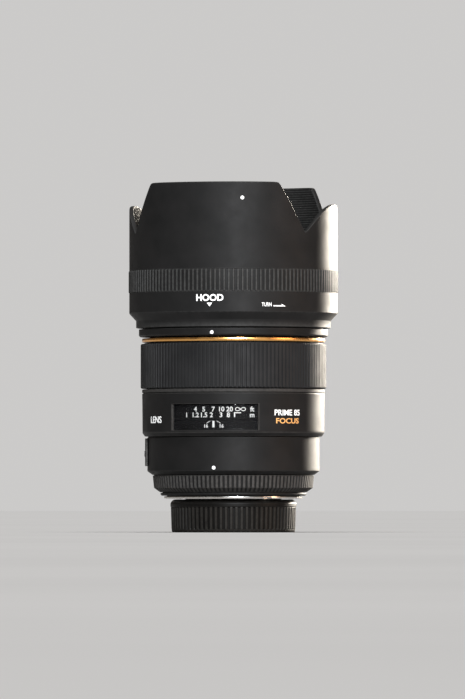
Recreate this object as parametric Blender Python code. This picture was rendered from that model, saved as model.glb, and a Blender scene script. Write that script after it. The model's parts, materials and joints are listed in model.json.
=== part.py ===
"""Prime camera lens: upright on its rear cap, petal hood fitted, origin under the cap, +Z along the optical axis.

The index marks face -Y. Every length is in millimetres and every angle in degrees until it is scaled here.
"""

import math

import bmesh
import bpy
from mathutils import Matrix, Vector

MM = 0.001
OUTER_STEPS = 40
INNER_STEPS = 28
GLASS_STEPS = 20
GAP = 0.3

# Heights above the foot of the rear cap.
CAP_TOP = 15.0
MOUNT_Z = 15.3
FLANGE_TOP = 16.4
SEAT_TOP = 18.0
REAR_GRIP_TOP = 25.9
LOWER_BARREL_TOP = 43.2
BARREL_BOTTOM = 43.7
BARREL_TOP = 65.1
FOCUS_BOTTOM = 65.5
GRIP_TOP = 85.8
FOCUS_TOP = 86.2
ACCENT_BOTTOM = 86.6
ACCENT_TOP = 88.3
FRONT_RING_BOTTOM = 89.0
FRONT_RING_STEP = 92.5
FILTER_TOP = 103.0
HOOD_BOTTOM = 93.1
HOOD_TOP = 158.4

# Outer radii.
CAP_R = 28.7
FLANGE_R = 31.5
SEAT_R = 33.2
REAR_GRIP_R = 36.8
LOWER_BARREL_R = 39.23
BARREL_R = 41.65
GRIP_R = 42.3
ACCENT_R = 41.7
FRONT_RING_R = 43.1
HOOD_R = 47.5
HOOD_BAND_R = 47.8
HOOD_WALL = 1.9

# Bayonet between the lens and the rear cap.
SKIRT_R = 21.9
THROAT_R = 20.9
LUG_R = 23.5
LUG_HALF = 25.0
LUG_ANGLES = (0.0, 120.0, 240.0)
LOCK_NOTCH_ANGLE = 43.0

# Bayonet between the lens and the hood.
HOOD_TAB_HALF = 19.0
HOOD_TAB_ANGLES = (30.0, 150.0, 270.0)

# Petals, as angles from the middle of a long petal.
LONG_PETAL_HALF = 39.0
NOTCH_ANGLE = 56.3
NOTCH_Z = 135.5
SHOULDER_ANGLE = 69.4
SHOULDER_Z = 144.5
SHORT_PETAL_Z = 149.2

# Distance window.
WINDOW_HALF = 29.0
WINDOW_BOTTOM = 46.3
WINDOW_TOP = 58.2

# Focus drive: the drum turns half as far as the ring, and the cell rises with the cam slots.
RING_TO_INFINITY = -27.4
RING_TO_NEAR = 54.0
DRUM_RATIO = 0.5
CELL_RISE_PER_RADIAN = 6.33
FOLLOWER_Z = 41.0
FOLLOWER_R = 1.3
FOLLOWER_ANGLES = (60.0, 180.0, 300.0)
ROLLER_R = 1.8
ROLLER_Z = 75.9
ROLLER_ANGLES = (0.0, 120.0, 240.0)
KEY_ANGLE = 100.0
KEY_HALF = 6.0

# Iris.
BLADE_COUNT = 9
BLADE_PIVOT_R = 24.3
BLADE_INNER_R = 18.0
BLADE_OUTER_R = 26.4
BLADE_SPAN = 115.0
BLADE_SWING = 39.4
BLADE_THICKNESS = 0.15
BLADE_PITCH = 0.3
BLADE_BOTTOM = 62.9
LEVER_ANGLE = 150.0
LEVER_HALF = 3.5
LEVER_TRAVEL = 18.0

# Focus-mode switch.
SWITCH_ANGLE = -83.0
SWITCH_Z = 37.2
SWITCH_TRAVEL = 3.0

# Name: colour, roughness, metallic, alpha.
FINISHES = {
    "satin_black": ((0.018, 0.017, 0.017), 0.42, 0.0, 1.0),
    "hood_black": ((0.020, 0.019, 0.019), 0.5, 0.0, 1.0),
    "rubber": ((0.014, 0.014, 0.015), 0.75, 0.0, 1.0),
    "cap_plastic": ((0.012, 0.011, 0.011), 0.35, 0.0, 1.0),
    "gold": ((0.72, 0.42, 0.13), 0.28, 1.0, 1.0),
    "chrome": ((0.72, 0.71, 0.69), 0.22, 1.0, 1.0),
    "inner_black": ((0.01, 0.01, 0.01), 0.8, 0.0, 1.0),
    "aluminium": ((0.55, 0.55, 0.56), 0.35, 1.0, 1.0),
    "brass": ((0.68, 0.5, 0.22), 0.3, 1.0, 1.0),
    "circuit": ((0.02, 0.12, 0.06), 0.5, 0.0, 1.0),
    "blade_steel": ((0.06, 0.06, 0.065), 0.35, 0.8, 1.0),
    "glass": ((0.75, 0.82, 0.8), 0.02, 0.0, 0.35),
    "window": ((0.05, 0.05, 0.055), 0.06, 0.0, 0.5),
    "white_plastic": ((0.8, 0.8, 0.78), 0.5, 0.0, 1.0),
}


def clear_scene():
    for obj in list(bpy.data.objects):
        bpy.data.objects.remove(obj, do_unlink=True)


def finish_material(name, finish):
    """A new material for one object, from the named finish."""
    colour, roughness, metallic, alpha = FINISHES[finish]
    material = bpy.data.materials.new(name + "_" + finish)
    material.use_nodes = True
    shader = material.node_tree.nodes["Principled BSDF"]
    shader.inputs["Base Color"].default_value = (*colour, 1.0)
    shader.inputs["Roughness"].default_value = roughness
    shader.inputs["Metallic"].default_value = metallic
    shader.inputs["Alpha"].default_value = alpha
    return material


def around(radius, angle, height):
    """The point at this angle from the index, counted from -Y towards +X."""
    turn = math.radians(angle)
    return Vector((radius * math.sin(turn), -radius * math.cos(turn), height))


def add_object(name, bm, finish, parent=None, smooth=True):
    """Turns the bmesh, made in millimetres, into a named object in metres."""
    bmesh.ops.recalc_face_normals(bm, faces=bm.faces)
    bmesh.ops.scale(bm, vec=(MM, MM, MM), verts=bm.verts)
    mesh = bpy.data.meshes.new(name)
    bm.to_mesh(mesh)
    bm.free()
    if smooth:
        mesh.shade_smooth()
        mesh.set_sharp_from_angle(angle=math.radians(30))
    obj = bpy.data.objects.new(name, mesh)
    bpy.context.scene.collection.objects.link(obj)
    if finish:
        mesh.materials.append(finish_material(name, finish))
    obj.parent = parent
    return obj


def joint_empty(name, location=(0.0, 0.0, 0.0), parent=None):
    """An empty on a joint's axis, which the pieces that move with it hang from."""
    empty = bpy.data.objects.new(name, None)
    empty.location = Vector(location) * MM
    empty.empty_display_size = 0.01
    empty.parent = parent
    bpy.context.scene.collection.objects.link(empty)
    return empty


def turned(profile, steps, closed=True):
    """A bmesh of revolution about Z from (radius, height) points. An open profile starts and ends on the axis."""
    bm = bmesh.new()
    points = [bm.verts.new((radius, 0.0, height)) for radius, height in profile]
    ends = points[1:] + points[:1] if closed else points[1:]
    edges = [bm.edges.new(pair) for pair in zip(points, ends)]
    bmesh.ops.spin(
        bm, geom=points + edges, cent=(0, 0, 0), axis=(0, 0, 1), angle=2 * math.pi, steps=steps, use_merge=True
    )
    bmesh.ops.remove_doubles(bm, verts=bm.verts, dist=0.0005)
    return bm


def skinned(columns):
    """A closed bmesh through a row of matching outlines, capped at both ends."""
    bm = bmesh.new()
    rows = [[bm.verts.new(point) for point in column] for column in columns]
    for near, far in zip(rows, rows[1:]):
        for index in range(len(near)):
            after = (index + 1) % len(near)
            bm.faces.new((near[index], near[after], far[after], far[index]))
    bm.faces.new(rows[0])
    bm.faces.new(rows[-1])
    return bm


def arc_shape(outline, middle, half, steps):
    """A bmesh of a (radius, height) outline swept round the axis, over middle - half to middle + half."""
    columns = []
    for step in range(steps + 1):
        angle = middle - half + 2 * half * step / steps
        columns.append([around(radius, angle, height) for radius, height in outline])
    return skinned(columns)


def arc_block(inner, outer, bottom, top, middle, half, steps):
    """A bmesh of a curved box between two radii and two heights."""
    outline = [(inner, bottom), (outer, bottom), (outer, top), (inner, top)]
    return arc_shape(outline, middle, half, steps)


def ring(name, profile, finish, parent=None, steps=INNER_STEPS):
    return add_object(name, turned(profile, steps), finish, parent)


def box_ring(name, inner, outer, bottom, top, finish, parent=None, steps=INNER_STEPS):
    profile = [(inner, bottom), (outer, bottom), (outer, top), (inner, top)]
    return ring(name, profile, finish, parent, steps)


def arc_piece(name, inner, outer, bottom, top, middle, half, finish, steps=8, parent=None):
    return add_object(name, arc_block(inner, outer, bottom, top, middle, half, steps), finish, parent)


def combine(target, bm, operation):
    """Adds a Boolean with a hidden helper made from the bmesh."""
    name = target.name + "_" + operation.lower() + str(len(target.modifiers))
    helper = add_object(name, bm, None, smooth=False)
    helper.hide_render = True
    helper.display_type = "WIRE"
    modifier = target.modifiers.new(name, "BOOLEAN")
    modifier.operation = operation
    modifier.solver = "EXACT"
    modifier.object = helper
    modifier.show_render = modifier.show_viewport


def cut(target, bm):
    combine(target, bm, "DIFFERENCE")


def join(target, bm):
    combine(target, bm, "UNION")


def make_rear_cap(parent):
    wall_r = 25.8
    profile = [
        (0.0, 0.0),
        (27.9, 0.0),
        (28.1, 0.6),
        (28.5, 11.6),
        (CAP_R, 11.6),
        (CAP_R, 13.2),
        (26.8, CAP_TOP),
        (wall_r, CAP_TOP),
        (wall_r, 2.0),
        (0.0, 2.0),
    ]
    cap = add_object("rear_cap", turned(profile, OUTER_STEPS, closed=False), "cap_plastic", parent)
    for angle in LUG_ANGLES:
        join(cap, arc_block(22.4, wall_r + 0.5, 11.2, 12.8, angle, LUG_HALF, 6))


def make_mount_plate():
    profile = [
        (THROAT_R, 8.7),
        (SKIRT_R, 8.7),
        (SKIRT_R, MOUNT_Z),
        (FLANGE_R, MOUNT_Z),
        (FLANGE_R, FLANGE_TOP),
        (THROAT_R, FLANGE_TOP),
    ]
    plate = ring("mount_plate", profile, "chrome", steps=OUTER_STEPS)
    for angle in LUG_ANGLES:
        join(plate, arc_block(SKIRT_R - 0.5, LUG_R, 9.3, 10.8, angle, LUG_HALF, 6))
    cut(plate, arc_block(29.4, FLANGE_R + 1, MOUNT_Z - 1, MOUNT_Z + 0.6, LOCK_NOTCH_ANGLE, 3.4, 2))


def make_mount_fittings():
    box_ring("mount_seat_ring", 24.2, SEAT_R, FLANGE_TOP + GAP, SEAT_TOP, "satin_black", steps=OUTER_STEPS)
    arc_piece("contact_block", 19.3, 20.5, 10.7, 14.8, 320.0, 27.0, "inner_black")
    baffle = box_ring("rear_baffle", 12.5, 20.5, 9.3, 10.2, "inner_black")
    notch_middle = LEVER_ANGLE + LEVER_TRAVEL / 2
    notch_half = LEVER_TRAVEL / 2 + LEVER_HALF + 2
    cut(baffle, arc_block(18.6, 22, 8, 12, notch_middle, notch_half, 6))


def make_rear_barrel():
    grip_profile = [
        (32.2, SEAT_TOP + GAP),
        (33.4, SEAT_TOP + GAP),
        (36.2, 20.3),
        (REAR_GRIP_R, REAR_GRIP_TOP),
        (32.2, REAR_GRIP_TOP),
    ]
    ring("rear_grip_ring", grip_profile, "satin_black", steps=OUTER_STEPS)
    barrel_profile = [
        (32.2, 26.2),
        (36.9, 26.2),
        (LOWER_BARREL_R, 27.9),
        (LOWER_BARREL_R, LOWER_BARREL_TOP),
        (37.3, LOWER_BARREL_TOP),
        (37.3, 27.8),
        (32.2, 27.8),
    ]
    ring("lower_barrel", barrel_profile, "satin_black", steps=OUTER_STEPS)
    board = box_ring("circuit_board", 26.2, 31.6, 20.4, 21.6, "circuit")
    cut(board, arc_block(25, 33, 19, 23, 60.0, 25.0, 6))


def make_switch(parent):
    """The plate with its slot, and the knob at the lower end of its travel."""
    plate = arc_piece("switch_plate", 39.6, 40.3, 30.2, 42.8, SWITCH_ANGLE, 15.0, "satin_black")
    slot_half = 3.4
    reach = SWITCH_TRAVEL / 2 + 1.9
    cut(plate, arc_block(38, 42, SWITCH_Z - reach, SWITCH_Z + reach, SWITCH_ANGLE, slot_half, 4))
    low = SWITCH_Z - SWITCH_TRAVEL / 2 - 1.4
    bm = arc_block(39.6, 40.9, low, low + 2.8, SWITCH_ANGLE, 2.9, 3)
    place = around(40.0, SWITCH_ANGLE, low + 1.4)
    bmesh.ops.translate(bm, vec=-place, verts=bm.verts)
    add_object("focus_mode_switch", bm, "white_plastic", parent)
    parent.location = place * MM


def make_main_barrel():
    """The housing, with the window opening and the slot that the drive ring's key turns in."""
    profile = [
        (40.0, BARREL_BOTTOM),
        (40.2, BARREL_BOTTOM),
        (41.42, 45.1),
        (BARREL_R, 63.1),
        (41.2, 63.3),
        (41.2, 63.6),
        (BARREL_R, 63.8),
        (BARREL_R, BARREL_TOP),
        (38.1, BARREL_TOP),
        (38.1, 88.6),
        (36.8, 88.6),
        (36.8, 61.6),
        (40.0, 61.6),
    ]
    barrel = ring("main_barrel", profile, "satin_black", steps=OUTER_STEPS)
    cut(barrel, arc_block(39, 43, WINDOW_BOTTOM, WINDOW_TOP, 0.0, WINDOW_HALF, 10))
    first = KEY_ANGLE + RING_TO_INFINITY - KEY_HALF - 1.5
    last = KEY_ANGLE + RING_TO_NEAR + KEY_HALF + 1.5
    cut(barrel, arc_block(36, 39, 77.6, 80.4, (first + last) / 2, (last - first) / 2, 14))


def make_window():
    low = WINDOW_BOTTOM + GAP
    high = WINDOW_TOP - GAP
    arc_piece("distance_window", 40.1, 41.0, low, high, 0.0, WINDOW_HALF - 0.5, "window", 10)
    arc_piece("index_plate", 38.9, 39.7, 45.4, 50.7, 0.0, 33.0, "inner_black", 10)


def make_front_rings():
    box_ring("accent_ring", 38.5, ACCENT_R, ACCENT_BOTTOM, ACCENT_TOP, "gold", steps=OUTER_STEPS)
    profile = [
        (37.0, FRONT_RING_BOTTOM),
        (42.5, FRONT_RING_BOTTOM),
        (FRONT_RING_R, 89.6),
        (FRONT_RING_R, FRONT_RING_STEP),
        (41.2, FRONT_RING_STEP),
        (41.2, 101.4),
        (39.6, 101.4),
        (39.6, 92.0),
        (37.0, 92.0),
    ]
    front = ring("front_ring", profile, "satin_black", steps=OUTER_STEPS)
    for angle in HOOD_TAB_ANGLES:
        join(front, arc_block(40.7, 42.2, 96.4, 97.8, angle, HOOD_TAB_HALF, 6))
    filter_profile = [
        (38.0, 92.4),
        (39.3, 92.4),
        (39.3, 101.8),
        (41.2, 101.8),
        (41.2, FILTER_TOP),
        (38.5, FILTER_TOP),
        (38.5, 99.0),
        (38.0, 98.6),
    ]
    ring("filter_ring", filter_profile, "satin_black", steps=OUTER_STEPS)


def petal_top(angle):
    """Height of the hood's rim at this angle from the index."""
    from_long = abs((angle + 90.0) % 180.0 - 90.0)
    if from_long <= LONG_PETAL_HALF:
        return HOOD_TOP
    if from_long <= NOTCH_ANGLE:
        share = (from_long - LONG_PETAL_HALF) / (NOTCH_ANGLE - LONG_PETAL_HALF)
        return HOOD_TOP + (NOTCH_Z - HOOD_TOP) * share
    if from_long <= SHOULDER_ANGLE:
        share = (from_long - NOTCH_ANGLE) / (SHOULDER_ANGLE - NOTCH_ANGLE)
        return NOTCH_Z + (SHOULDER_Z - NOTCH_Z) * share
    share = (from_long - SHOULDER_ANGLE) / (90.0 - SHOULDER_ANGLE)
    return SHOULDER_Z + (SHORT_PETAL_Z - SHOULDER_Z) * math.sin(math.radians(90.0 * share))


def hood_angles():
    """Angles of the hood's columns: even on each side of every corner of the petals."""
    quarter = []
    corners = ((0.0, LONG_PETAL_HALF, 5), (LONG_PETAL_HALF, NOTCH_ANGLE, 3), (NOTCH_ANGLE, SHOULDER_ANGLE, 2))
    for start, end, count in corners + ((SHOULDER_ANGLE, 90.0, 3),):
        quarter += [start + (end - start) * step / count for step in range(count)]
    half = quarter + [90.0] + [180.0 - angle for angle in reversed(quarter[1:])]
    return half + [angle + 180.0 for angle in half]


def make_hood(parent):
    """The hood as one loop of columns, each ending at the rim's height there."""
    inner = HOOD_R - HOOD_WALL
    lower = [
        (42.8, HOOD_BOTTOM),
        (44.35, HOOD_BOTTOM),
        (44.4, 96.4),
        (HOOD_R, 99.7),
        (HOOD_R, 109.0),
        (HOOD_BAND_R, 109.0),
        (HOOD_BAND_R, 119.0),
        (HOOD_R, 119.0),
    ]
    upper = [(inner, 102.0), (42.8, 98.8)]
    bm = bmesh.new()
    columns = []
    for angle in hood_angles():
        top = petal_top(angle)
        outline = lower + [(HOOD_R, top), (inner, top)] + upper
        columns.append([bm.verts.new(around(radius, angle, height)) for radius, height in outline])
    for near, far in zip(columns, columns[1:] + columns[:1]):
        for index in range(len(near)):
            after = (index + 1) % len(near)
            bm.faces.new((near[index], near[after], far[after], far[index]))
    hood = add_object("lens_hood", bm, "hood_black", parent)
    for angle in HOOD_TAB_ANGLES:
        join(hood, arc_block(41.6, 43.2, 94.4, 96.0, angle, HOOD_TAB_HALF, 6))


def make_focus_ring(parent):
    profile = [
        (38.4, FOCUS_BOTTOM),
        (40.6, FOCUS_BOTTOM),
        (40.6, FOCUS_TOP - 0.2),
        (40.4, FOCUS_TOP),
        (38.4, FOCUS_TOP),
    ]
    ring("focus_ring", profile, "satin_black", parent, OUTER_STEPS)
    box_ring("focus_grip", 40.9, GRIP_R, FOCUS_BOTTOM, GRIP_TOP, "rubber", parent, OUTER_STEPS)
    drive = box_ring("manual_drive_ring", 31.8, 36.4, 78.0, 80.0, "brass", parent)
    join(drive, arc_block(36.0, 38.1, 78.0, 80.0, KEY_ANGLE, KEY_HALF, 4))


def cam_slot(angle):
    """A bmesh of the sloping slot that carries the follower at this angle."""
    spare = 3.6
    first = RING_TO_INFINITY * DRUM_RATIO - spare
    last = RING_TO_NEAR * DRUM_RATIO + spare
    rise = CELL_RISE_PER_RADIAN / DRUM_RATIO
    half_height = FOLLOWER_R + 0.55
    columns = []
    for step in range(9):
        turn = first + (last - first) * step / 8
        middle = FOLLOWER_Z + rise * math.radians(turn)
        corners = ((25.6, -half_height), (28.6, -half_height), (28.6, half_height), (25.6, half_height))
        columns.append([around(radius, angle - turn, middle + offset) for radius, offset in corners])
    return skinned(columns)


def make_cam(parent):
    """The cam tube, the scale drum and the roller cage, which turn as one."""
    profile = [
        (26.2, 33.0),
        (27.8, 33.0),
        (27.8, 58.9),
        (31.9, 58.9),
        (31.9, 60.1),
        (29.6, 60.1),
        (29.6, 77.1),
        (28.4, 77.1),
        (28.4, 60.1),
        (26.2, 60.1),
    ]
    tube = ring("cam_tube", profile, "aluminium", parent)
    for angle in FOLLOWER_ANGLES:
        cut(tube, cam_slot(angle))
    drum_profile = [
        (32.2, 58.9),
        (38.4, 58.9),
        (38.4, 51.0),
        (39.2, 51.0),
        (39.2, 60.1),
        (32.2, 60.1),
    ]
    ring("distance_drum", drum_profile, "inner_black", parent, OUTER_STEPS)
    box_ring("roller_ring", 29.9, 31.3, 74.7, 77.1, "brass", parent)


def make_rollers(cam):
    for number, angle in enumerate(ROLLER_ANGLES, 1):
        bm = turned([(0, -1.5), (ROLLER_R, -1.5), (ROLLER_R, 1.5), (0, 1.5)], 16, closed=False)
        bmesh.ops.rotate(bm, matrix=Matrix.Rotation(math.radians(90), 3, "Y"), verts=bm.verts)
        roller = add_object("focus_roller_" + str(number), bm, "aluminium", cam)
        roller.location = around(33.2, angle, ROLLER_Z) * MM
        roller.rotation_euler = (0, 0, math.radians(angle - 90))


def make_motor(parent):
    box_ring("motor_stator", 30.2, 36.4, 62.4, 69.6, "brass")
    box_ring("motor_rotor", 30.2, 36.4, 70.0, 73.8, "aluminium", parent)


def make_guide_tube():
    foot = SEAT_TOP + GAP
    profile = [(24.0, foot), (31.4, foot), (31.4, 19.9), (25.6, 19.9), (25.6, 60.2), (24.0, 60.2)]
    tube = ring("guide_tube", profile, "aluminium")
    slot_low = FOLLOWER_Z + math.radians(RING_TO_INFINITY) * CELL_RISE_PER_RADIAN - 2
    slot_high = FOLLOWER_Z + math.radians(RING_TO_NEAR) * CELL_RISE_PER_RADIAN + 2
    for angle in FOLLOWER_ANGLES:
        cut(tube, arc_block(23, 26.0, slot_low, slot_high, angle, 4.0, 2))


def make_focus_cell(parent):
    profile = [
        (17.4, 15.2),
        (18.9, 15.2),
        (18.9, 24.6),
        (23.4, 24.6),
        (23.4, 54.2),
        (19.4, 54.2),
        (19.4, 26.2),
        (17.4, 24.8),
    ]
    cell = ring("focus_cell", profile, "inner_black", parent)
    groove_middle = LEVER_ANGLE + LEVER_TRAVEL / 2
    groove_half = LEVER_TRAVEL / 2 + LEVER_HALF + 2
    cut(cell, arc_block(21.2, 25, 20, 58, groove_middle, groove_half, 6))
    box_ring("rear_retainer", 15.6, 17.1, 15.2, 15.9, "inner_black", parent)
    for number, angle in enumerate(FOLLOWER_ANGLES, 1):
        bm = turned([(0, 0), (FOLLOWER_R, 0), (FOLLOWER_R, 4.0), (0, 4.0)], 12, closed=False)
        bmesh.ops.rotate(bm, matrix=Matrix.Rotation(math.radians(90), 3, "Y"), verts=bm.verts)
        follower = add_object("cam_follower_" + str(number), bm, "brass", parent)
        follower.location = around(23.7, angle, FOLLOWER_Z) * MM
        follower.rotation_euler = (0, 0, math.radians(angle - 90))


def sag(radius, reach):
    """How far a sphere falls back at this distance from the axis. A positive radius bulges towards the front."""
    return math.copysign(abs(radius) - math.sqrt(radius * radius - reach * reach), radius)


def make_element(name, reach, front, front_radius, back, back_radius, parent=None):
    """A glass element from its half width, the heights of its two vertices and the radii of its two faces."""
    profile = []
    for share in (0.0, 0.5, 1.0):
        profile.append((reach * share, front - sag(front_radius, reach * share)))
    for share in (1.0, 0.5, 0.0):
        profile.append((reach * share, back - sag(back_radius, reach * share)))
    add_object(name, turned(profile, GLASS_STEPS, closed=False), "glass", parent)


def make_front_optics():
    make_element("element_1", 31.3, 99.2, 75.0, 91.4, 400.0)
    make_element("element_2", 28.6, 90.9, 50.0, 83.4, 120.0)
    make_element("element_3", 25.2, 82.8, 60.0, 78.0, 150.0)
    make_element("element_4", 24.6, 77.6, 150.0, 76.0, 60.0)
    profile = [
        (23.8, 67.3),
        (27.9, 67.3),
        (27.9, 77.5),
        (31.4, 77.5),
        (31.4, 80.6),
        (36.4, 80.6),
        (36.4, 82.8),
        (34.5, 82.8),
        (34.5, 98.2),
        (31.7, 98.2),
        (31.7, 89.7),
        (29.0, 89.7),
        (29.0, 79.4),
        (25.6, 77.6),
        (25.6, 70.5),
        (23.8, 70.5),
    ]
    ring("front_cell", profile, "inner_black")
    box_ring("element_retainer", 29.8, 31.3, 93.4, 94.6, "inner_black")
    plate_profile = [(32.2, 98.5), (37.6, 98.5), (37.6, 100.6), (34.8, 100.6)]
    ring("front_plate", plate_profile, "satin_black")


def make_rear_optics(parent):
    make_element("element_5", 18.5, 49.6, -45.0, 47.4, 60.0, parent)
    make_element("element_6", 18.5, 47.1, 60.0, 38.6, -45.0, parent)
    make_element("element_7", 19.0, 37.9, 120.0, 31.8, -60.0, parent)
    make_element("element_8", 18.5, 31.2, 90.0, 26.9, -120.0, parent)
    make_element("element_9", 17.0, 26.5, -120.0, 25.0, 50.0, parent)
    make_element("element_10", 17.0, 24.4, 45.0, 20.6, 200.0, parent)
    make_element("element_11", 17.0, 19.9, 150.0, 16.6, -80.0, parent)


def blade_outline():
    """The blade when fully open: a strip round the axis from the round boss about its pivot."""
    boss_r = BLADE_OUTER_R - BLADE_PIVOT_R
    outline = [Vector((BLADE_INNER_R, 0.0))]
    arc_steps = 11
    for step in range(1, arc_steps + 1):
        angle = math.radians(BLADE_SPAN * step / arc_steps)
        outline.append(Vector((BLADE_INNER_R * math.cos(angle), BLADE_INNER_R * math.sin(angle))))
    for step in range(arc_steps, 0, -1):
        angle = math.radians(BLADE_SPAN * step / arc_steps)
        outline.append(Vector((BLADE_OUTER_R * math.cos(angle), BLADE_OUTER_R * math.sin(angle))))
    for step in range(6):
        angle = math.radians(-180.0 * step / 5)
        outline.append(Vector((BLADE_PIVOT_R + boss_r * math.cos(angle), boss_r * math.sin(angle))))
    return outline


def make_blades():
    """Each blade has its origin on its own pivot and is stored stopped down, one level above the last."""
    closed = Matrix.Rotation(math.radians(BLADE_SWING), 2)
    pivot = Vector((BLADE_PIVOT_R, 0.0))
    for number in range(BLADE_COUNT):
        bm = bmesh.new()
        verts = []
        for point in blade_outline():
            local = closed @ (point - pivot)
            verts.append(bm.verts.new((local.x, local.y, 0.0)))
        face = bm.faces.new(verts)
        raised = bmesh.ops.extrude_face_region(bm, geom=[face])["geom"]
        tops = [item for item in raised if isinstance(item, bmesh.types.BMVert)]
        bmesh.ops.translate(bm, vec=(0, 0, BLADE_THICKNESS), verts=tops)
        blade = add_object("iris_blade_" + str(number + 1), bm, "blade_steel")
        turn = 2 * math.pi * number / BLADE_COUNT
        level = BLADE_BOTTOM + number * BLADE_PITCH
        place = Vector((BLADE_PIVOT_R * math.cos(turn), BLADE_PIVOT_R * math.sin(turn), level))
        blade.location = place * MM
        blade.rotation_euler = (0, 0, turn)


def make_iris(aperture):
    """The fixed plates, the drive ring with its lever down to the mount, and the blades."""
    hole_r = BLADE_INNER_R - 0.2
    profile = [(hole_r, 61.8), (27.8, 61.8), (27.8, 65.6), (27.0, 65.6), (27.0, 62.6), (hole_r, 62.6)]
    ring("iris_base", profile, "inner_black")
    box_ring("iris_cover", hole_r, 27.8, 65.9, 66.9, "inner_black")
    drive = box_ring("aperture_ring", 21.9, 27.5, 60.6, 61.4, "aluminium", aperture)
    lever = [
        (22.1, 61.0),
        (22.1, 20.2),
        (19.4, 20.2),
        (19.4, 9.8),
        (20.4, 9.8),
        (20.4, 19.0),
        (23.2, 19.0),
        (23.2, 61.0),
    ]
    join(drive, arc_shape(lever, LEVER_ANGLE, LEVER_HALF, 2))
    make_blades()


def main():
    clear_scene()
    focus = joint_empty("focus_axis")
    cam = joint_empty("cam_axis")
    cell = joint_empty("cell_axis")
    rotor = joint_empty("rotor_axis")
    aperture = joint_empty("aperture_axis")
    switch = joint_empty("switch_axis")
    hood = joint_empty("hood_axis")
    cap = joint_empty("cap_axis")
    make_rear_cap(cap)
    make_mount_plate()
    make_mount_fittings()
    make_rear_barrel()
    make_switch(switch)
    make_main_barrel()
    make_window()
    make_front_rings()
    make_hood(hood)
    make_focus_ring(focus)
    make_cam(cam)
    make_rollers(cam)
    make_motor(rotor)
    make_guide_tube()
    make_focus_cell(cell)
    make_front_optics()
    make_rear_optics(cell)
    make_iris(aperture)


main()
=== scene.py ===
"""The looks of a prime camera lens that stands on its rear cap with its petal hood on.

Pieces are drawn in millimetres and add_piece scales them. The stage, lights and camera are in metres.
Angles are in degrees, counted from the index at -Y towards +X. Places come from the frame through size_of.
"""

import json
import math

import bmesh
import bpy
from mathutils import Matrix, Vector


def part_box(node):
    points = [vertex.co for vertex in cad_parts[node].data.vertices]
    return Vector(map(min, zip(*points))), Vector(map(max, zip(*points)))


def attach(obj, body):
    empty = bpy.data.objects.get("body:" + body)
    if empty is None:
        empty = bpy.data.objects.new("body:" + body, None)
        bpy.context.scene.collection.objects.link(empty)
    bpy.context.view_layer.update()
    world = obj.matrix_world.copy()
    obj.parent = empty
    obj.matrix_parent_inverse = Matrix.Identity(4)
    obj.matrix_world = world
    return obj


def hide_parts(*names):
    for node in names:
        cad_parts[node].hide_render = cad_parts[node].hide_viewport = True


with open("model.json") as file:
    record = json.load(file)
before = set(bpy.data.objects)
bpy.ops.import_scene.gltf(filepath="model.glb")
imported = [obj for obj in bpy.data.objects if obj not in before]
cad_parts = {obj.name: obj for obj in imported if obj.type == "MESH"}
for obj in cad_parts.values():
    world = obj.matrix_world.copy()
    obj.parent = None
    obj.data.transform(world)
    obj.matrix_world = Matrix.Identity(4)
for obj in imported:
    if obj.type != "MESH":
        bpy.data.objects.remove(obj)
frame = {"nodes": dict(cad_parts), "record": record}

MM = 0.001
RECORD = frame["record"]
BODY_OF = {node: body for body, nodes in RECORD["behaviour"]["bodies"].items() for node in nodes}
SLOT_OF = {row["node"]: row["material_slot"] for row in RECORD["subparts"]}
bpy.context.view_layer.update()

# Columns of a plain turned piece, and ribs of the knurled ones.
ROUND_STEPS = 240
HOOD_RIBS = 144
GRIP_RIBS = 137
REAR_RIBS = 110
CAP_RIBS = 75

# A wall longer than LONG_RUN gets a row of points HOLD from each end, so that it shades flat.
LONG_RUN = 1.2
HOLD = 0.15

# The turn between two faces, in radians, that counts as a full edge for the lighter edges, which are partly
# wear and partly painted highlight.
SHARP_TURN = 1.0

# How far a printed mark stands proud of its surface, and how far it reaches into it.
RAISED = 0.05
SUNK = 0.02

# The lugs between the mount and the rear cap, and the tabs between the front ring and the hood.
LUG_ANGLES = (0.0, 120.0, 240.0)
LUG_HALF = 25.0
TAB_ANGLES = (30.0, 150.0, 270.0)
TAB_HALF = 19.0

# The hood's rim: angles from the middle of a long petal, and depths below the top.
LONG_HALF = 39.0
NOTCH = 56.3
SHOULDER = 69.4
NOTCH_DEPTH = 22.9
SHOULDER_DEPTH = 13.9
SHORT_DEPTH = 9.2

# A level above every groove of the hood's inner wall.
RIM_LEVEL = 10000


# ---------------------------------------------------------------- geometry


def size_of(node):
    """(outer radius, bottom, top) of a CAD node in millimetres."""
    low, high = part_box(node)
    radius = max(abs(low[0]), abs(high[0]), abs(low[1]), abs(high[1]))
    return radius / MM, low[2] / MM, high[2] / MM


def around(radius, angle, height):
    """The point at this radius, angle and height about the optical axis."""
    turn = math.radians(angle)
    return Vector((radius * math.sin(turn), -radius * math.cos(turn), height))


def add_piece(name, bm, material, node=None, body=None, sharp=35):
    """Makes a piece from a bmesh in millimetres. It stands for its node, or only rides on a body."""
    bmesh.ops.recalc_face_normals(bm, faces=bm.faces)
    note_edges(bm)
    bmesh.ops.scale(bm, vec=(MM, MM, MM), verts=bm.verts)
    mesh = bpy.data.meshes.new(name)
    bm.to_mesh(mesh)
    bm.free()
    mesh.shade_smooth()
    mesh.set_sharp_from_angle(angle=math.radians(sharp))
    mesh.materials.append(material)
    piece = bpy.data.objects.new(name, mesh)
    bpy.context.scene.collection.objects.link(piece)
    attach(piece, body or BODY_OF[node])
    if node:
        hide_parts(node)
    return piece


def note_edges(bm):
    """Stores how sharply the surface turns outwards at each vertex, from 0 to 1, for the lighter edges:
    partly wear, partly painted highlight.
    """
    layer = bm.verts.layers.float.new("edge")
    for vert in bm.verts:
        turn = max((edge.calc_face_angle_signed(0.0) for edge in vert.link_edges), default=0.0)
        vert[layer] = min(max(turn / SHARP_TURN, 0.0), 1.0)


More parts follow.
